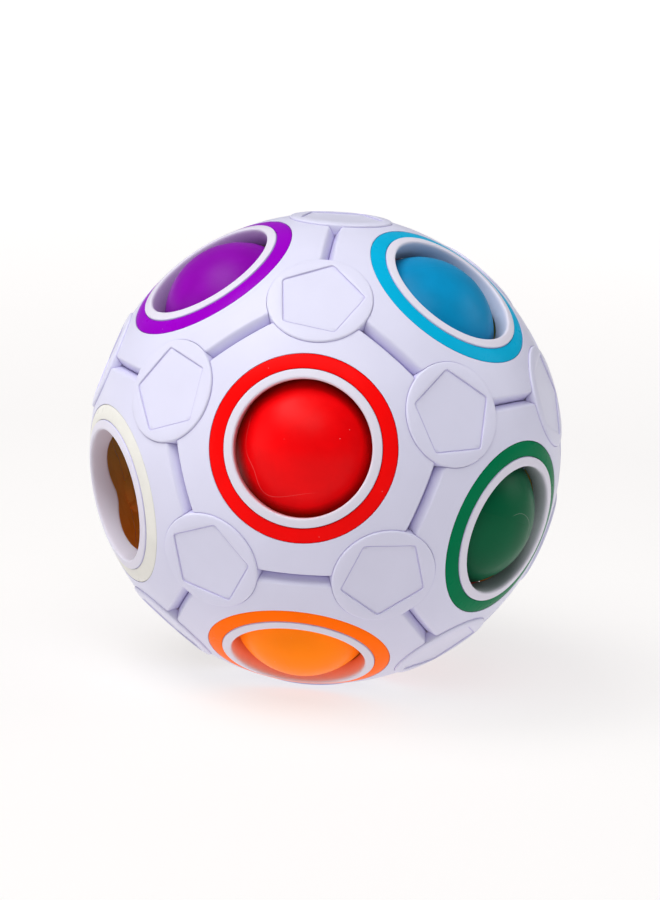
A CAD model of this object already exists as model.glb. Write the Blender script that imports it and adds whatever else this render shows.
from math import acos, asin, atan, atan2, cos, degrees, hypot, pi, radians, sin, sqrt, tan

import bmesh
import bpy
import numpy as np
from mathutils import Matrix, Vector


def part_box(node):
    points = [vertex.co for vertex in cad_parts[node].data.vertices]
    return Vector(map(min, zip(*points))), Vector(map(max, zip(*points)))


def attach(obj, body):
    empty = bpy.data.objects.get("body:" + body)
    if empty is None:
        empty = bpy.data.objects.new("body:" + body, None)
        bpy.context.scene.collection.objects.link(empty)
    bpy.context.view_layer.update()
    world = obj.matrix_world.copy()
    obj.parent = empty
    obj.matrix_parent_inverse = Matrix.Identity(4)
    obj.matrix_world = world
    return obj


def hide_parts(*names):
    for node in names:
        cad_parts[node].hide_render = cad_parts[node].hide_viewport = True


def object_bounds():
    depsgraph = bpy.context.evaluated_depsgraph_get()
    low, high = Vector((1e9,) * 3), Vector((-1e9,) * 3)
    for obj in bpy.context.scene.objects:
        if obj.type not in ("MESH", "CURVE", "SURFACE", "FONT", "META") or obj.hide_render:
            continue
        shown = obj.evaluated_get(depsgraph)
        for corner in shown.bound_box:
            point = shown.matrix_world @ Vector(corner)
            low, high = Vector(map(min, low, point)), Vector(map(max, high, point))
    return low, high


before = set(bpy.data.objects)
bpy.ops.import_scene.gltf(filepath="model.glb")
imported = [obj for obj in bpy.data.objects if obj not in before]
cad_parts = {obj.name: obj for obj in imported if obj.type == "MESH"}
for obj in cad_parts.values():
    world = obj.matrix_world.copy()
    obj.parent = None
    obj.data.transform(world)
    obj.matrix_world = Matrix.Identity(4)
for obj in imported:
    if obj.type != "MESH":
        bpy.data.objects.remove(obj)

cad_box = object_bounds()
MM = 0.001

# ---------------------------------------------------------------- sizes that the CAD model has too
SHELL_R = 35.0
INNER_R = 31.7
WINDOW_R = 9.65
LIP_R = 35.12            # radius of the sphere that the white lip round a window lies on
GROOVE_IN = 11.06        # inner and outer radius, and floor, of the groove that holds a ring
GROOVE_OUT = 13.22
GROOVE_FLOOR = 31.45
RING_BASE = 31.5
RING_TOP_R = 35.03
PEG_R = 0.55
PEG_L = 0.9
HALF_GAP = 0.04          # half of the gap between two panels
VALLEY_R = 33.5          # distance of a valley's bottom from the middle
VALLEY_HALF_W = 0.95
SEAT_FLOOR = 32.95       # floor of a corner cap's seat in the panels
STEM_HOLE_R = 2.1
CAP_R = 7.5
CAP_BASE = 33.0
CAP_DOME_R = 35.3
CAP_FLAT = 34.75
PENTAGON_R = 6.5         # distance from a sunk pentagon's middle to its corners
STEM_R = 2.0
BARB_R = 2.75
BARB_TOP = 31.45
BARB_END = 30.45
SLOT_W = 0.8
PRESS_R = 21.25          # distance of a pressed-in ball from the middle
TUNNEL_R = 11.25         # radius of the way that a ball takes from window to window

# ---------------------------------------------------------------- sizes that differ from the CAD's
RING_IN = 11.085         # a ring and a cap's seat leave thinner gaps than the CAD's clearances
RING_OUT = 13.195
SEAT_R = 7.53
PENTAGON_DEPTH = 0.2     # a shallower step, because the look has a thin line cut in at its foot

# Angles of a dodecahedron that stands on a corner: from a window's axis to the middle of an edge
# and to a corner, elevations of the windows and of the corners
EDGE = atan(2) / 2
CORNER = acos(sqrt((5 + 2 * sqrt(5)) / 15))
HIGH = 90 - degrees(CORNER)
LOW = degrees(asin(sqrt((5 - 2 * sqrt(5)) / 15)))
CORNER_HIGH = degrees(asin(sqrt(5) / 3))
CORNER_LOW = degrees(asin(1 / 3))
CORNER_TURN = degrees(atan(sqrt(3 / 5)))

# Each window: azimuth from the front (positive to the right), elevation, colour of its ring and
# colour of its ball, as the screen shows them
WINDOWS = {
    "red": (0, LOW, "ff0c0c", "f60006"),
    "orange": (0, -HIGH, "ff6a02", "ff8000"),
    "purple": (-60, HIGH, "9a02c2", "8c02aa"),
    "sky_blue": (60, HIGH, "08b0dc", "048abe"),
    "white": (-60, -LOW, "edebe4", None),
    "green": (60, -LOW, "02784c", "025c3a"),
    "pink": (180, HIGH, "f78ab8", "ee6aa0"),
    "dark_blue": (120, LOW, "1c46b8", "183a9c"),
    "yellow": (-120, LOW, "fbd70c", "f4ca06"),
    "light_green": (180, -LOW, "84d022", "70be16"),
    "rose": (120, -HIGH, "dc1e78", "c81468"),
    "brown": (-120, -HIGH, "8a5424", "78461c"),
}

# Each corner cap: azimuth, elevation, and how far its pentagon is turned
CAPS = [
    (0, 90, 12),
    (0, CORNER_HIGH, 26),
    (120, CORNER_HIGH, 50),
    (-120, CORNER_HIGH, 5),
    (CORNER_TURN, CORNER_LOW, 38),
    (-CORNER_TURN, CORNER_LOW, 58),
    (120 - CORNER_TURN, CORNER_LOW, 14),
    (120 + CORNER_TURN, CORNER_LOW, 33),
    (-120 + CORNER_TURN, CORNER_LOW, 66),
    (-120 - CORNER_TURN, CORNER_LOW, 9),
    (60 - CORNER_TURN, -CORNER_LOW, 1),
    (CORNER_TURN - 60, -CORNER_LOW, 22),
    (60 + CORNER_TURN, -CORNER_LOW, 47),
    (180 - CORNER_TURN, -CORNER_LOW, 19),
    (-60 - CORNER_TURN, -CORNER_LOW, 61),
    (CORNER_TURN - 180, -CORNER_LOW, 28),
    (60, -CORNER_HIGH, 40),
    (-60, -CORNER_HIGH, 17),
    (180, -CORNER_HIGH, 55),
    (0, -90, 30),
]


# ---------------------------------------------------------------- camera
# How the camera is turned, in degrees, and its focal length in millimetres
CAMERA_ROLL = -4.957
CAMERA_YAW = -5.307
CAMERA_PITCH = 11.362
MIDDLE_IN_VIEW = Vector((-0.668, 0.271, -463.72))   # the ball's middle, seen from the camera, in mm
LENS = 124.436


def make_camera():
    data = bpy.data.cameras.new("camera")
    data.lens = LENS
    data.clip_start = 0.05
    data.clip_end = 20
    camera = bpy.data.objects.new("camera", data)
    bpy.context.scene.collection.objects.link(camera)
    into_view = (
        Matrix.Rotation(radians(CAMERA_ROLL), 3, "Z")
        @ Matrix.Rotation(radians(CAMERA_YAW), 3, "Y")
        @ Matrix.Rotation(radians(CAMERA_PITCH), 3, "X")
        @ Matrix(((1, 0, 0), (0, 0, 1), (0, -1, 0)))
    )
    out_of_view = into_view.transposed()
    place = out_of_view @ MIDDLE_IN_VIEW * -MM
    camera.matrix_world = Matrix.Translation(place) @ out_of_view.to_4x4()
    bpy.context.scene.camera = camera


# ---------------------------------------------------------------- shapes: common parts
# A face's kind is the place of its material in the list of materials that the piece gets
OUTSIDE, INSIDE, BORE = 0, 1, 2


def aim(azimuth, elevation, turn=0):
    """Turns +Z to an azimuth and elevation, with +X down the meridian, after a turn about +Z."""
    return (
        Matrix.Rotation(radians(azimuth - 90), 4, "Z")
        @ Matrix.Rotation(radians(90 - elevation), 4, "Y")
        @ Matrix.Rotation(radians(turn), 4, "Z")
    )


def at_window(name):
    azimuth, elevation = WINDOWS[name][:2]
    return aim(azimuth, elevation, 0 if elevation > 0 else 180)


def mesh_from(name, points, faces, kinds=None):
    """A mesh from points in millimetres. The kinds of its faces are kept as an attribute, because
    a boolean loses material numbers."""
    mesh = bpy.data.meshes.new(name)
    mesh.from_pydata([Vector(p) * MM for p in points], [], faces)
    if kinds is not None:
        mesh.attributes.new("kind", "INT", "FACE").data.foreach_set("value", kinds)
    return mesh


def clean(mesh, sharp=40):
    """Joins points that lie together, turns the faces outwards and shades the mesh smooth, except
    across edges sharper than that many degrees."""
    work = bmesh.new()
    work.from_mesh(mesh)
    bmesh.ops.remove_doubles(work, verts=work.verts, dist=0.002 * MM)
    bmesh.ops.recalc_face_normals(work, faces=work.faces)
    work.to_mesh(mesh)
    work.free()
    mesh.shade_smooth()
    mesh.set_sharp_from_angle(angle=radians(sharp))
    return mesh


def place(mesh, name, matrix, materials, body, node, slot):
    """A piece with its own copy of the mesh, where the CAD node is."""
    own = mesh.copy()
    own.name = name
    own.transform(matrix)
    for material in materials:
        own.materials.append(material)
    kind = own.attributes.get("kind")
    if kind:
        own.polygons.foreach_set("material_index", [face.value for face in kind.data])
        own.attributes.remove(kind)
    piece = bpy.data.objects.new(name, own)
    bpy.context.scene.collection.objects.link(piece)
    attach(piece, body)
    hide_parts(node)
    return piece


def rounded(before, corner, after, size, steps):
    """Points that round a corner between two neighbours, starting and ending size away from it."""
    before, corner, after = (np.array(p, float) for p in (before, corner, after))
    to_before, to_after = before - corner, after - corner
    length_before, length_after = np.linalg.norm(to_before), np.linalg.norm(to_after)
    start = corner + to_before / max(length_before, 1e-9) * min(size, 0.45 * length_before)
    end = corner + to_after / max(length_after, 1e-9) * min(size, 0.45 * length_after)
    ts = np.linspace(0, 1, steps + 1)[:, None]
    return list((1 - ts) ** 2 * start + 2 * ts * (1 - ts) * corner + ts**2 * end)


def smooth_min(a, b, width):
    h = max(width - abs(a - b), 0) / width
    return min(a, b) - h * h * width / 4


def root(low, high, f):
    """Where f, positive at low and negative at high, changes sign."""
    for _ in range(40):
        middle = (low + high) / 2
        low, high = (middle, high) if f(middle) > 0 else (low, middle)
    return low


def lathe(profiles, azimuths, closed=True):
    """Points and faces of a ring of profiles, each a list of (rho, z) at its azimuth in degrees."""
    rows = len(profiles[0])
    points = [
        (p[0] * cos(radians(a)), p[0] * sin(radians(a)), p[1])
        for a, profile in zip(azimuths, profiles)
        for p in profile
    ]
    faces = []
    for i in range(len(profiles)):
        j = (i + 1) % len(profiles)
        for k in range(rows if closed else rows - 1):
            n = (k + 1) % rows
            faces.append((i * rows + k, j * rows + k, j * rows + n, i * rows + n))
    return points, faces


# ---------------------------------------------------------------- shapes: a shell panel
SHOULDER = 0.14          # how softly a valley's side rounds over into the shell
SEAT_ROUND = 0.08        # small roundings of moulded edges
GROOVE_ROUND = 0.1
LIP_ROUND = 0.75
INNER_ROUND = 0.25
TUNNEL_ROUND = 0.1
INNER_ROWS = 8
# Far ends of the searches for the boundary's points: an angle past any corner, a radius outside
# the shell, and heights inside the panels
PAST_CORNER = radians(40)
OUT_OF_SHELL = 40
BELOW_HOLE = 28
BELOW_EDGE = 20
# Azimuths from the middle of an edge to a corner, closest together where a valley ends at a cap
FIRST_SEAT = 14.97
PANEL_AZIMUTHS = [0, 3, 6, 9, 12, 13.8, FIRST_SEAT, 15.4, 15.8, 16.2, 16.7, 17.2, 18]
PANEL_AZIMUTHS += [19.5, 21.5, 24, 27, 29, 30.3, 32, 34, 36]


def from_corner(rho, z, delta):
    """Distance of a point from a corner's axis, and height along that axis. delta is the azimuth
    between the point and the corner."""
    across = rho * cos(CORNER) * cos(delta) - z * sin(CORNER)
    along = rho * sin(CORNER) * cos(delta) + z * cos(CORNER)
    return hypot(across, rho * sin(delta)), along


def on_corner_cylinder(along, radius, delta):
    """The point at that height on a cylinder round the corner's axis, on the window's side, or
    None where this section passes the cylinder by."""
    t = tan(delta) ** 2
    a = 1 + t * cos(CORNER) ** 2
    b = 2 * t * along * sin(CORNER) * cos(CORNER)
    c = t * (along * sin(CORNER)) ** 2 - radius**2
    if b * b < 4 * a * c:
        return None
    across = (-b - sqrt(b * b - 4 * a * c)) / (2 * a)
    rho = (along * sin(CORNER) + across * cos(CORNER)) / cos(delta)
    return rho, along * cos(CORNER) - across * sin(CORNER)


def edge_distance(rho, z, phi):
    """Distance of a point from the plane that two panels meet on."""
    return z * sin(EDGE) - rho * cos(phi) * cos(EDGE)


def outer_point(theta, phi):
    """A point of the panel's outside, with the valley along the edge. Its distance from the
    middle settles in three rounds."""
    slope = (SHELL_R - VALLEY_R) / VALLEY_HALF_W
    r = SHELL_R
    for _ in range(3):
        d = edge_distance(r * sin(theta), r * cos(theta), phi)
        r = smooth_min(SHELL_R, hypot(VALLEY_R + slope * max(d, 0), d), SHOULDER)
    return r * sin(theta), r * cos(theta)


def inner_point(theta, phi):
    """A point of the panel's inside, with the tunnel that a ball rolls through under the edge."""
    x, y = sin(theta) * cos(phi), sin(theta) * sin(phi)
    a = hypot(x, cos(theta))
    tunnel = a * PRESS_R + sqrt(max(a * a * PRESS_R**2 - PRESS_R**2 + TUNNEL_R**2, 0))
    r = -smooth_min(-INNER_R, -tunnel, TUNNEL_ROUND)
    return r * sin(theta), r * cos(theta)


def inside_panel(theta, phi, delta):
    """Positive while the outside still belongs to the panel: not past the edge or in a cap's seat."""
    rho, z = outer_point(theta, phi)
    return min(edge_distance(rho, z, phi) - HALF_GAP, from_corner(rho, z, delta)[0] - SEAT_R)


def on_edge_plane(z, phi):
    """The point at that height on the panel's side of the gap along the edge."""
    return (z * sin(EDGE) - HALF_GAP) / (cos(phi) * cos(EDGE)), z


def panel_profile(phi_degrees):
    """The panel's section at an azimuth from the middle of the nearest edge, as a closed outline
    that runs over the outside, down the boundary, back along the inside and up through the bore,
    and the kind of the faces that start at each of its points."""
    phi = radians(abs(phi_degrees))
    delta = radians(36) - phi
    groove_top = sqrt(SHELL_R**2 - GROOVE_OUT**2)
    first = asin(GROOVE_OUT / SHELL_R)
    last = root(first, PAST_CORNER, lambda t: inside_panel(t, phi, delta))
    end = outer_point(last, phi)
    seated = abs(phi_degrees) >= FIRST_SEAT and from_corner(*end, delta)[1] > SEAT_FLOOR

    # The boundary: a cap's seat wall and floor, or only the plane between two panels
    if seated:
        wall_base = on_corner_cylinder(SEAT_FLOOR, SEAT_R, delta)

        def floor_z(rho):
            return (SEAT_FLOOR - rho * sin(CORNER) * cos(delta)) / cos(CORNER)

        def floor_left(rho):
            return edge_distance(rho, floor_z(rho), phi) - HALF_GAP

        far = root(wall_base[0], OUT_OF_SHELL, floor_left)
        hole = on_corner_cylinder(SEAT_FLOOR, STEM_HOLE_R, delta)
        through_hole = hole is not None and hole[0] < far
        floor_end = hole if through_hole else (far, floor_z(far))
        wall_length = hypot(end[0] - wall_base[0], end[1] - wall_base[1])
    else:
        wall_base = floor_end = end
        through_hole = False
        wall_length = 0
    if through_hole:
        def hole_point(along):
            return on_corner_cylinder(along, STEM_HOLE_R, delta)

        along = root(SEAT_FLOOR, BELOW_HOLE, lambda h: hypot(*hole_point(h)) - INNER_R)
        inner_end = hole_point(along)
    else:
        def above_inside(z):
            p = on_edge_plane(z, phi)
            return hypot(*p) - hypot(*inner_point(atan2(*p), phi))

        inner_end = on_edge_plane(root(floor_end[1], BELOW_EDGE, above_inside), phi)

    # Over the outside. The first steps are distances back from the boundary, which shrink where
    # the panel is narrow, and the rest share what is left up to the groove.
    narrow = 3
    groove_margin = 0.2
    length = (last - first) * SHELL_R
    steps = [0.16, 0.34, 0.52, 0.7, 0.86, 1.0, 1.14, 1.28, 1.42, 1.58, 1.76, 1.96, 2.2]
    scale = min(1, length / narrow)
    back = [s * scale for s in steps]
    spare = length - groove_margin - back[-1]
    back += [back[-1] + spare * share for share in (0.12, 0.3, 0.55, 0.8, 0.97)]
    outside = [outer_point(last - b / SHELL_R, phi) for b in reversed(back)]
    groove_edge = (GROOVE_OUT, groove_top)
    outline = rounded((GROOVE_OUT, GROOVE_FLOOR), groove_edge, outside[0], GROOVE_ROUND, 3)
    outline += outside
    seat_round = min(SEAT_ROUND, 0.4 * wall_length)
    outline += rounded(outside[-1], end, wall_base, seat_round, 3)
    outline += [wall_base, floor_end, inner_end]
    kinds = [OUTSIDE] * (len(outline) - 1)

    # Back along the inside, to where the bore's rounding is half done
    start = atan2(*inner_end)
    bore_theta = asin(WINDOW_R / INNER_R)
    for _ in range(6):
        bore_theta = asin(WINDOW_R / hypot(*inner_point(bore_theta, phi)))
    shares = np.linspace(0, 1, INNER_ROWS + 1)
    inside = [inner_point(start + (bore_theta - start) * s, phi) for s in shares[1:]]
    outline += inside[:-1]
    kinds += [INSIDE] * (len(outline) + 1 - len(kinds))

    # Up through the bore and over the lip to the groove's edge
    rim_z = sqrt(LIP_R**2 - WINDOW_R**2)
    rim = (WINDOW_R, rim_z)
    outline += rounded(inside[-2], inside[-1], rim, INNER_ROUND, 3)
    lip_points = [(p, sqrt(LIP_R**2 - p * p)) for p in (10.6, 10.85)]
    outline += [(WINDOW_R, rim_z - LIP_ROUND - 0.2)]
    outline += rounded((WINDOW_R, inside[-1][1]), rim, lip_points[0], LIP_ROUND, 7)
    outline += lip_points
    kinds += [BORE] * (len(outline) + 1 - len(kinds))
    groove_rim = (GROOVE_IN, sqrt(LIP_R**2 - GROOVE_IN**2))
    outline += rounded(lip_points[1], groove_rim, (GROOVE_IN, GROOVE_FLOOR), GROOVE_ROUND, 3)
    outline += [(GROOVE_IN, GROOVE_FLOOR), (GROOVE_OUT, GROOVE_FLOOR)]
    kinds += [OUTSIDE] * (len(outline) - len(kinds))
    return outline, kinds


def panel_mesh():
    """One of the twelve five-sided panels, with its window and the groove for its ring."""
    half = [-a for a in reversed(PANEL_AZIMUTHS[1:-1])]
    sector = half + PANEL_AZIMUTHS
    sections = {abs(a): panel_profile(a) for a in sector}
    azimuths = [72 * k + a for k in range(5) for a in sector]
    profiles = [sections[abs(a)][0] for k in range(5) for a in sector]
    kinds = sections[0][1] * len(azimuths)
    points, faces = lathe(profiles, azimuths)
    mesh = mesh_from("panel", points, faces, kinds)
    return clean(with_holes(mesh, peg_cutters()))


def pegs(levels, count):
    """Points and faces of five pegs on a ring's middle line. Each is a closed stack of circles of
    count points, and levels gives each circle's radius and height, the lowest first."""
    middle = (GROOVE_IN + GROOVE_OUT) / 2
    turns = [2 * pi * i / count for i in range(count)]
    points, faces = [], []
    for k in range(5):
        x = middle * cos(radians(36 + 72 * k))
        y = middle * sin(radians(36 + 72 * k))
        start = len(points)
        for radius, z in levels:
            points += [(x + radius * cos(turn), y + radius * sin(turn), z) for turn in turns]
        top = len(points) - count
        faces.append([start + i for i in reversed(range(count))])
        faces.append([top + i for i in range(count)])
        for low in range(start, top, count):
            for i in range(count):
                j = (i + 1) % count
                faces.append((low + i, low + j, low + count + j, low + count + i))
    return points, faces


def peg_cutters():
    """Round holes for a ring's pegs, a little wider and deeper than the pegs are."""
    radius = PEG_R + 0.04
    bottom = RING_BASE - PEG_L - 0.05
    top = GROOVE_FLOOR + 0.5
    return mesh_from("pegs", *pegs([(radius, bottom), (radius, top)], 24))


def with_holes(mesh, cutter):
    """The mesh with the cutter's solids taken out of it."""
    whole = bpy.data.objects.new("whole", clean(mesh))
    tool = bpy.data.objects.new("tool", cutter)
    for o in (whole, tool):
        bpy.context.scene.collection.objects.link(o)
    cut = whole.modifiers.new("cut", "BOOLEAN")
    cut.operation = "DIFFERENCE"
    cut.solver = "EXACT"
    cut.object = tool
    depsgraph = bpy.context.evaluated_depsgraph_get()
    made = bpy.data.meshes.new_from_object(whole.evaluated_get(depsgraph))
    bpy.data.objects.remove(whole)
    bpy.data.objects.remove(tool)
    made.materials.clear()
    return made


# ---------------------------------------------------------------- shapes: ring, cap, ball and core
def ring_mesh():
    """A colour ring: a crowned band with small bevels, on five pegs."""
    edge = 0.22
    crown = 0.07
    bevel = 0.15

    def top(p):
        return sqrt(RING_TOP_R**2 - p * p)

    inner, outer = (RING_IN, top(RING_IN) - crown), (RING_OUT, top(RING_OUT) - crown)
    inner_base, outer_base = (RING_IN, RING_BASE), (RING_OUT, RING_BASE)
    arch = []
    for share in (0.13, 0.3, 0.5, 0.7, 0.87):
        p = RING_IN + (RING_OUT - RING_IN) * share
        arch.append((p, top(p) - crown * (2 * share - 1) ** 2))
    profile = rounded(inner_base, inner, arch[0], edge, 4) + arch
    profile += rounded(arch[-1], outer, outer_base, edge, 4)
    profile += [outer_base, inner_base]
    azimuths = [3 * i for i in range(120)]
    points, faces = lathe([profile] * len(azimuths), azimuths)
    bottom = RING_BASE - PEG_L
    levels = [(PEG_R - bevel, bottom), (PEG_R, bottom + bevel), (PEG_R, RING_BASE + 0.1)]
    peg_points, peg_faces = pegs(levels, 20)
    start = len(points)
    points += peg_points
    faces += [[start + i for i in face] for face in peg_faces]
    return clean(mesh_from("ring", points, faces))


def pentagon_reach(azimuth, offset):
    """Distance from the middle to a pentagon's outline, moved outwards by offset, with its
    corners slightly rounded."""
    rounding = 0.2
    flat = PENTAGON_R * cos(radians(36)) + offset
    straight = flat / cos(radians((azimuth % 72) - 36))
    corner = PENTAGON_R - rounding / 2 + offset
    return smooth_min(straight, corner, rounding)


def cap_mesh():
    """A corner cap: a domed disc with a pentagon sunk into its flat top, on a split stem that ends
    in a barb."""
    brim_round = 0.26
    flat_round = 0.12
    floor = CAP_FLAT - PENTAGON_DEPTH
    # The brim's edge before it is rounded, just under the dome
    brim = (CAP_R, sqrt(CAP_DOME_R**2 - CAP_R**2) - 0.01)
    dome_end = CAP_R - 0.45

    def top(p):
        return smooth_min(sqrt(CAP_DOME_R**2 - p * p), CAP_FLAT, flat_round)

    # Azimuths of one fifth, closest together at the pentagon's corners
    sector = (0, 2, 4, 7, 11, 16, 22, 29, 36, 43, 50, 56, 61, 65, 68, 70)
    azimuths = [72 * k + a for k in range(5) for a in sector]
    # The step up from the sunk pentagon, as distance from its outline and share of its height,
    # with a thin line cut in at its foot
    step = [(-0.2, 0), (-0.15, -0.25), (-0.04, -0.25)]
    step += [(0, 0.5), (0.025, 0.85), (0.04, 0.97), (0.05, 1)]
    # The brim's foot, and everything below it, which lies inside the shell
    stem = [(CAP_R, CAP_BASE), (STEM_R, CAP_BASE), (STEM_R, BARB_TOP), (BARB_R, BARB_TOP)]
    stem += [(BARB_R, BARB_TOP - 0.15), (STEM_R + 0.1, BARB_END), (0.04, BARB_END)]
    profiles = []
    for a in azimuths:
        outline = [(share * pentagon_reach(a, -0.3), floor) for share in (0.04, 0.35, 0.7, 0.9)]
        for offset, rise in step:
            p = pentagon_reach(a, offset)
            outline.append((p, floor + (top(p) - floor) * rise))
        last = outline[-1][0]
        for share in (0.25, 0.55, 0.85):
            p = last + (dome_end - last) * share
            outline.append((p, top(p)))
        outline += rounded(outline[-1], brim, stem[0], brim_round, 5)
        profiles.append(outline + stem)
    points, faces = lathe(profiles, azimuths, closed=False)
    rows = len(profiles[0])
    count = len(azimuths)
    faces.append([i * rows for i in range(count)])
    faces.append([i * rows + rows - 1 for i in reversed(range(count))])
    section_kinds = [OUTSIDE] * (rows - len(stem)) + [INSIDE] * (len(stem) - 1)
    kinds = section_kinds * count + [OUTSIDE, INSIDE]
    slot = box_mesh((-2 * BARB_R, -SLOT_W / 2, 25), (2 * BARB_R, SLOT_W / 2, CAP_BASE - 0.6))
    return clean(with_holes(mesh_from("cap", points, faces, kinds), slot))


def box_mesh(low, high):
    """A closed box that cuts inside faces."""
    xs, ys, zs = zip(low, high)
    corners = [(x, y, z) for x in xs for y in ys for z in zs]
    faces = [(0, 1, 3, 2), (4, 6, 7, 5), (0, 4, 5, 1), (2, 3, 7, 6), (0, 2, 6, 4), (1, 5, 7, 3)]
    return mesh_from("box", corners, faces, [INSIDE] * len(faces))


def ball_mesh(radius):
    """A moulded ball about its parting line, with the line's faint ridge and a gate mark."""
    ridge = 0.015
    ridge_half = 0.6         # in degrees
    gate = 1.1
    gate_depth = 0.06
    # Latitudes, closest together at the gate mark and at the ridge
    half = [90, 88, 86.5, 85] + [82 - 5.2 * i for i in range(15)] + [6, 3.5, 1.6, 0.8, 0.35]
    levels = half + [0] + [-x for x in reversed(half)]
    profile = []
    for level in levels:
        r = radius - ridge + ridge * max(0, 1 - abs(level) / ridge_half)
        across = r * cos(radians(level))
        dip = gate_depth if across < gate and level > 0 else 0
        profile.append((max(across, 0.0), (r - dip) * sin(radians(level))))
    azimuths = [3.75 * i for i in range(96)]
    points, faces = lathe([profile] * len(azimuths), azimuths, closed=False)
    return clean(mesh_from("ball", points, faces), sharp=60)


def core_mesh(core_r, ball_r):
    """The soft core: a sphere about the axis of its dent, with a soft rim where the dent starts."""
    dent_r = ball_r + 0.15   # the dent leaves the pressed ball a little room
    rim_round = 0.6
    rim_z = (core_r**2 - dent_r**2 + PRESS_R**2) / (2 * PRESS_R)
    rim = acos(rim_z / core_r)
    dent = atan2(sqrt(core_r**2 - rim_z**2), PRESS_R - rim_z)
    outline = [
        (dent_r * sin(dent * s), PRESS_R - dent_r * cos(dent * s)) for s in np.linspace(0, 0.97, 14)
    ]
    past_rim = (core_r * sin(rim + 0.06), core_r * cos(rim + 0.06))
    outline += rounded(outline[-1], (core_r * sin(rim), rim_z), past_rim, rim_round, 5)
    outline += [(core_r * sin(a), core_r * cos(a)) for a in np.linspace(rim + 0.08, pi, 40)]
    azimuths = [5 * i for i in range(72)]
    points, faces = lathe([outline] * len(azimuths), azimuths, closed=False)
    return clean(mesh_from("core", points, faces), sharp=60)


# ---------------------------------------------------------------- materials
def linear(code):
    """A screen colour such as "ff8800" as linear red, green, blue and alpha."""
    parts = [int(code[i:i + 2], 16) / 255 for i in (0, 2, 4)]
    return [c / 12.92 if c <= 0.04045 else ((c + 0.055) / 1.055) ** 2.4 for c in parts] + [1]


def feed(tree, socket, value):
    """Joins another node's output to a socket, or sets the socket to a number or colour."""
    if isinstance(value, bpy.types.NodeSocket):
        tree.links.new(value, socket)
    else:
        socket.default_value = value


class Nodes:
    """Short ways to add and join a material's nodes."""

    def __init__(self, name):
        self.material = bpy.data.materials.new(name)
        self.material.use_nodes = True
        self.tree = self.material.node_tree
        self.tree.nodes.clear()
        self.shader = self.add("ShaderNodeBsdfPrincipled")
        output = self.add("ShaderNodeOutputMaterial")
        self.join(self.shader.outputs[0], output.inputs["Surface"])
        self.where = self.add("ShaderNodeTexCoord").outputs["Object"]

    def add(self, kind, **settings):
        node = self.tree.nodes.new(kind)
        for key, value in settings.items():
            setattr(node, key, value)
        return node

    def join(self, source, target):
        self.tree.links.new(source, target)

    def stretched(self, scale, turn=(0, 0, 0)):
        """Coordinates in millimetres, scaled and turned."""
        mapping = self.add("ShaderNodeMapping")
        mapping.inputs["Scale"].default_value = [s / MM for s in scale]
        mapping.inputs["Rotation"].default_value = [radians(t) for t in turn]
        self.join(self.where, mapping.inputs["Vector"])
        return mapping.outputs["Vector"]

    def noise(self, scale, detail=2, turn=(0, 0, 0)):
        """Noise with so many features to a millimetre along each axis."""
        scale = (scale,) * 3 if isinstance(scale, (int, float)) else scale
        node = self.add("ShaderNodeTexNoise")
        node.inputs["Scale"].default_value = 1
        node.inputs["Detail"].default_value = detail
        self.join(self.stretched(scale, turn), node.inputs["Vector"])
        return node.outputs["Fac"]

    def remap(self, source, low, high, to_low=0.0, to_high=1.0):
        node = self.add("ShaderNodeMapRange")
        limits = {"From Min": low, "From Max": high, "To Min": to_low, "To Max": to_high}
        for key, value in limits.items():
            node.inputs[key].default_value = value
        self.join(source, node.inputs["Value"])
        return node.outputs["Result"]

    def math(self, operation, a, b):
        node = self.add("ShaderNodeMath", operation=operation)
        feed(self.tree, node.inputs[0], a)
        feed(self.tree, node.inputs[1], b)
        return node.outputs[0]

    def mix(self, share, a, b):
        node = self.add("ShaderNodeMix", data_type="RGBA")
        self.join(share, node.inputs["Factor"])
        feed(self.tree, node.inputs["A"], a)
        feed(self.tree, node.inputs["B"], b)
        return node.outputs["Result"]

    def bump(self, height, distance, below=None):
        """Bump of that height in millimetres, on top of another bump."""
        node = self.add("ShaderNodeBump")
        node.inputs["Strength"].default_value = 1
        node.inputs["Distance"].default_value = distance * MM
        self.join(height, node.inputs["Height"])
        if below is not None:
            self.join(below, node.inputs["Normal"])
        return node.outputs["Normal"]

    def crevice(self, distance):
        """1 on open surfaces, falling towards 0 in gaps and valleys."""
        node = self.add("ShaderNodeAmbientOcclusion", samples=8)
        node.inputs["Distance"].default_value = distance * MM
        return node.outputs["AO"]

    def specks(self, density, radius):
        """Small round specks of dust, density of them to a millimetre along each axis."""
        node = self.add("ShaderNodeTexVoronoi")
        node.inputs["Scale"].default_value = 1
        self.join(self.stretched((density,) * 3), node.inputs["Vector"])
        return self.remap(node.outputs["Distance"], radius * density * 0.7, radius * density, 1, 0)

    def hairlines(self, scale, width, turn):
        """Long curved hair-thin marks, over part of the surface."""
        off = self.math("ABSOLUTE", self.math("SUBTRACT", self.noise(scale, 1, turn=turn), 0.5), 0)
        line = self.remap(off, 0, width * scale, 1, 0)
        where = self.remap(self.noise(scale * 1.7, 0, turn=turn), 0.55, 0.61)
        return self.math("MULTIPLY", line, where)

    def scratches(self, turn, amount=0.62):
        """Thin, long, faint marks in one direction."""
        lines = self.noise((7, 0.12, 7), detail=1, turn=turn)
        return self.remap(lines, amount, amount + 0.03)

    def set(self, **values):
        """Sets or joins the shader's sockets, with underscores for the spaces in their names."""
        for key, value in values.items():
            feed(self.tree, self.shader.inputs[key.replace("_", " ")], value)


def shade(colour, factor):
    """The colour made darker, or lighter with a factor over 1."""
    return [c * factor for c in colour[:3]] + [1]


SHELL_COLOUR = linear("dddcf1")
LIP_COLOUR = linear("e0dcea")      # the lips and windows have less of the shell's lavender cast
INSIDE_TINT = "ffc8c4"             # what the empty window's wall takes on from the inside
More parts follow.
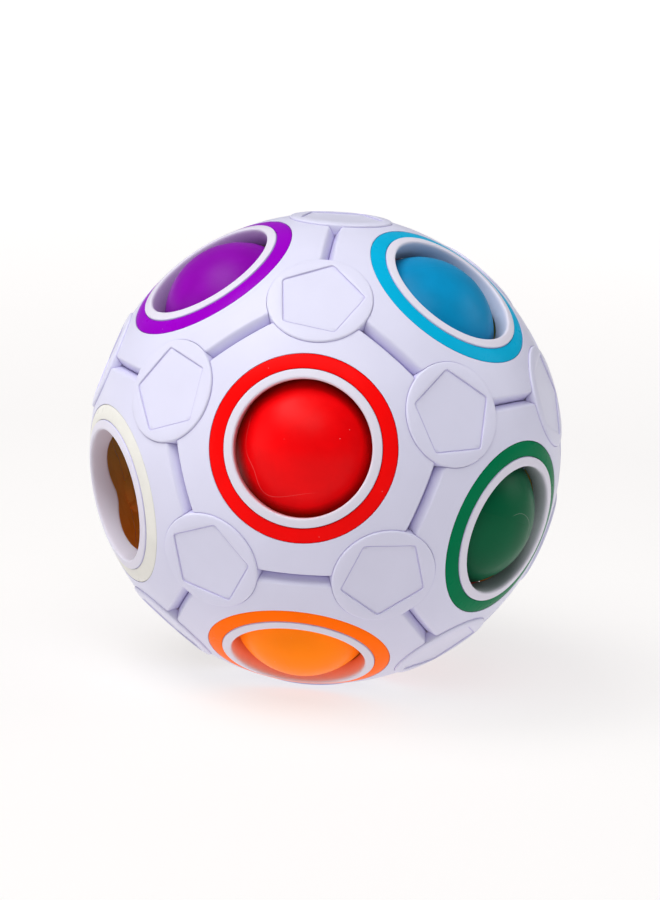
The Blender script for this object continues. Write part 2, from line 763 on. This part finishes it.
# How much of the ball's colour the deep part of a window has
BORE_TINT = {"orange": 0.85, "sky_blue": 0.35}
OTHER_TINT = 0.6
GLOW = {"orange": 0.2}             # how much light fluorescent plastic gives off by itself
# Light that comes through the shell to its inside: its colour at a lower and at a higher level
GLOW_LOW = (-15 * MM, (0.075, 0.021, 0.002, 1))
GLOW_HIGH = (-3 * MM, (0.01, 0.024, 0.009, 1))


def plastic(n, colour):
    """The shell's glossy moulded plastic: orange peel, fine grain and faintly duller scuffs."""
    scuffs = n.math("MAXIMUM", n.scratches((20, 35, 50)), n.scratches((70, 110, 15), 0.64))
    normal = n.bump(n.noise(0.4, 1), 0.002)
    normal = n.bump(n.noise(9, 1), 0.0003, normal)
    cloudy = n.remap(n.noise(0.3, 2), 0.2, 0.8, 0.28, 0.34)
    n.set(Roughness=n.math("ADD", cloudy, n.math("MULTIPLY", scuffs, 0.02)))
    n.set(Base_Color=colour, Normal=normal, IOR=1.5, Specular_IOR_Level=0.12)
    return n.material


def shell_material():
    """White with a lavender cast that deepens in the valleys and in the seams."""
    n = Nodes("shell_white")
    mottle = n.remap(n.noise(0.12, 3), 0.3, 0.7)
    base = n.mix(mottle, SHELL_COLOUR, shade(SHELL_COLOUR, 0.965))
    valleys = n.remap(n.crevice(2.2), 0.15, 0.75, 0.55, 0)
    seams = n.remap(n.crevice(0.35), 0.5, 0.92, 0.55, 0)
    grime = n.math("MAXIMUM", valleys, seams)
    return plastic(n, n.mix(grime, base, linear("a597d4")))


def bore_material(name, code):
    """The lip and wall of a window, where white plastic takes on the colour of the ball behind it."""
    n = Nodes("bore_" + name)
    colour = linear(code)
    cast = n.mix(n.remap(n.noise(0.4, 2), 0.3, 0.7), shade(colour, 1.25), shade(colour, 1.1))
    depth = n.remap(n.crevice(4), 0.2, 0.72, BORE_TINT.get(name, OTHER_TINT), 0)
    return plastic(n, n.mix(depth, LIP_COLOUR, cast))


def inner_material():
    """The shell's inside, which the balls have rubbed and coloured. Some light comes through it."""
    n = Nodes("shell_inside")
    rub = n.remap(n.noise(0.2, 4), 0.35, 0.65)
    colour = n.mix(rub, linear("e8a850"), linear("dd9a40"))
    n.set(Base_Color=colour, Roughness=n.remap(n.noise(0.8, 3), 0.3, 0.7, 0.5, 0.65))
    n.set(Normal=n.bump(n.noise(1.5, 2), 0.01), Specular_IOR_Level=0.04)
    height = n.add("ShaderNodeSeparateXYZ")
    n.join(n.where, height.inputs[0])
    upper = n.remap(height.outputs["Z"], GLOW_LOW[0], GLOW_HIGH[0])
    n.set(Emission_Color=n.mix(upper, GLOW_LOW[1], GLOW_HIGH[1]), Emission_Strength=1)
    return n.material


def ring_material(name, code):
    """A ring's glossy coloured plastic, with a few specks of dust and darker edges in its groove."""
    n = Nodes("ring_" + name)
    colour = linear(code)
    tone = n.remap(n.noise(0.25, 3), 0.3, 0.7)
    dust = n.specks(0.5, 0.08)
    base = n.mix(tone, colour, shade(colour, 0.93))
    base = n.mix(n.math("MULTIPLY", dust, 0.2), base, [0.8, 0.8, 0.8, 1])
    deep = n.remap(n.crevice(0.5), 0.3, 0.9, 1, 0)
    base = n.mix(deep, base, shade(colour, 0.6))
    n.set(Base_Color=base, IOR=1.5, Specular_IOR_Level=0.025)
    n.set(Emission_Color=colour, Emission_Strength=GLOW.get(name, 0))
    n.set(Roughness=n.remap(n.noise(0.5, 3), 0.2, 0.8, 0.24, 0.34))
    n.set(Normal=n.bump(n.noise(0.7, 2), 0.012))
    return n.material


def ball_material(name, code):
    """A satin ball with fine grain, a few specks and hair-thin scratches."""
    n = Nodes("ball_" + name)
    colour = linear(code)
    tone = n.remap(n.noise(0.18, 4), 0.3, 0.7)
    base = n.mix(tone, shade(colour, 1.05), shade(colour, 0.9))
    specks = n.specks(0.4, 0.08)
    scratches = n.hairlines(0.06, 0.022, turn=(0, 60, 0))
    marks = n.math("MAXIMUM", n.math("MULTIPLY", specks, 0.35), n.math("MULTIPLY", scratches, 0.2))
    base = n.mix(marks, base, [0.75, 0.7, 0.68, 1])
    deep = n.remap(n.crevice(1.6), 0.3, 0.9, 1, 0)
    base = n.mix(deep, base, shade(colour, 0.5))
    normal = n.bump(n.noise(5, 3), 0.004)
    normal = n.bump(scratches, -0.003, normal)
    n.set(Base_Color=base, Normal=normal, IOR=1.46, Specular_IOR_Level=0.11)
    n.set(Emission_Color=colour, Emission_Strength=GLOW.get(name, 0))
    n.set(Roughness=n.remap(n.noise(0.6, 4), 0.2, 0.8, 0.34, 0.44))
    return n.material


def core_material():
    """Soft brown rubber."""
    n = Nodes("core_rubber")
    colour = linear("a06c38")
    n.set(Base_Color=n.mix(n.remap(n.noise(0.3, 4), 0.3, 0.7), colour, shade(colour, 0.7)))
    n.set(Roughness=n.remap(n.noise(1, 3), 0.3, 0.7, 0.6, 0.8))
    n.set(Normal=n.bump(n.noise(4, 3), 0.02))
    return n.material


# ---------------------------------------------------------------- light and floor
# Softboxes: direction from the ball as the camera sees it (right, up, towards the camera), width in
# metres, and power in watts
SOFTBOX_HEIGHT = 0.45
SOFTBOX_AWAY = 0.9
SOFTBOXES = {
    "key": ((-0.2, 0.75, 0.65), 1.1, 6.1),
    "top": ((-0.35, 0.9, 0.25), 0.45, 3.0),
    "left": ((-0.9, 0.2, 0.25), 0.45, 0.8),
    "right": ((0.95, 0.4, -0.05), 0.45, 1.6),
}
# The studio's walls: their brightness everywhere, and how much more the back one has
WALLS = 0.08
BACK_WALL = 0.15
# The floor's own light near the ball and far from it, and where near ends and far begins
FLOOR_GLOW = (0.72, 1.06)
FLOOR_NEAR = 0.2
FLOOR_FAR = 0.9
FLOOR_HALF = 8                       # half of the floor's side


def make_floor():
    half, bottom = FLOOR_HALF, cad_box[0].z
    corners = [(-half, -half, bottom), (half, -half, bottom), (half, half, bottom), (-half, half, bottom)]
    mesh = bpy.data.meshes.new("floor")
    mesh.from_pydata(corners, [], [(0, 1, 2, 3)])
    n = Nodes("floor")
    tone = n.remap(n.noise(0.004, 2), 0.3, 0.7)
    n.set(Base_Color=n.mix(tone, linear("8e8c8b"), linear("8b8988")))
    n.set(Roughness=0.9, Specular_IOR_Level=0.1)
    away = n.add("ShaderNodeVectorMath", operation="LENGTH")
    n.join(n.where, away.inputs[0])
    glow = n.remap(away.outputs["Value"], FLOOR_NEAR, FLOOR_FAR, *FLOOR_GLOW)
    n.set(Emission_Color=(1, 0.985, 0.98, 1), Emission_Strength=glow)
    mesh.materials.append(n.material)
    floor = bpy.data.objects.new("floor", mesh)
    bpy.context.scene.collection.objects.link(floor)


def make_softboxes():
    view = bpy.context.scene.camera.matrix_world.to_3x3()
    for name, (direction, width, power) in SOFTBOXES.items():
        data = bpy.data.lights.new(name, "AREA")
        data.shape = "RECTANGLE"
        data.size = width
        data.size_y = SOFTBOX_HEIGHT
        data.energy = power
        light = bpy.data.objects.new(name, data)
        bpy.context.scene.collection.objects.link(light)
        light.location = view @ Vector(direction).normalized() * SOFTBOX_AWAY
        light.rotation_euler = (-light.location).to_track_quat("-Z", "Y").to_euler()


def make_world():
    """White studio walls that light the ball unevenly, and are plain white where they are seen."""
    world = bpy.data.worlds.new("studio")
    bpy.context.scene.world = world
    world.use_nodes = True
    tree = world.node_tree

    def math(operation, a, b):
        node = tree.nodes.new("ShaderNodeMath")
        node.operation = operation
        feed(tree, node.inputs[0], a)
        feed(tree, node.inputs[1], b)
        return node.outputs[0]

    towards_back = tree.nodes.new("ShaderNodeVectorMath")
    towards_back.operation = "DOT_PRODUCT"
    towards_back.inputs[1].default_value = (0, 1, 0)
    where = tree.nodes.new("ShaderNodeTexCoord").outputs["Generated"]
    tree.links.new(where, towards_back.inputs[0])
    facing = math("MAXIMUM", towards_back.outputs["Value"], 0)
    light = math("ADD", math("MULTIPLY", facing, BACK_WALL), WALLS)
    seen = tree.nodes.new("ShaderNodeLightPath").outputs["Is Camera Ray"]
    background = tree.nodes["Background"]
    background.inputs["Color"].default_value = (1, 1, 1, 1)
    tree.links.new(math("MAXIMUM", seen, light), background.inputs["Strength"])


# ---------------------------------------------------------------- the puzzle
def make_puzzle():
    """Every piece of the puzzle, where its CAD node is and on the body that the node moves with."""
    shell = shell_material()
    panel, ring, cap = panel_mesh(), ring_mesh(), cap_mesh()
    inside = inner_material()
    ball_low, ball_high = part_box("ball_red")
    ball_r = (ball_high.z - ball_low.z) / 2 / MM
    core_low, core_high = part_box("soft_core")
    core_r = max(core_high - core_low) / 2 / MM
    ball = ball_mesh(ball_r)
    for i, (name, (_, _, ring_code, ball_code)) in enumerate(WINDOWS.items()):
        matrix = at_window(name)
        bore = bore_material(name, ball_code or INSIDE_TINT)
        layers = [shell, inside, bore]
        place(panel, f"shell_panel_{name}", matrix, layers, "shell", f"panel_{name}", "shell_white")
        layers = [ring_material(name, ring_code)]
        place(ring, f"colour_ring_{name}", matrix, layers, "shell", f"ring_{name}", f"ring_{name}")
        if ball_code:
            # Each loose ball lies turned its own way
            low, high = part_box(f"ball_{name}")
            matrix = Matrix.Translation((low + high) / 2)
            matrix @= Matrix.Rotation(radians(40 + 25 * i), 4, "X")
            matrix @= Matrix.Rotation(radians(70 * i), 4, "Y")
            layers = [ball_material(name, ball_code)]
            key = f"ball_{name}"
            place(ball, f"loose_{key}", matrix, layers, key, key, key)
    for i, direction in enumerate(CAPS, start=1):
        node = f"corner_cap_{i:02}"
        place(cap, f"cap_{i:02}", aim(*direction), [shell, inside], "shell", node, "shell_white")
    core = core_mesh(core_r, ball_r)
    place(core, "core", at_window("brown"), [core_material()], "core", "soft_core", "core_rubber")


make_camera()
make_world()
make_floor()
make_softboxes()
make_puzzle()
bpy.context.scene.view_settings.view_transform = "Standard"
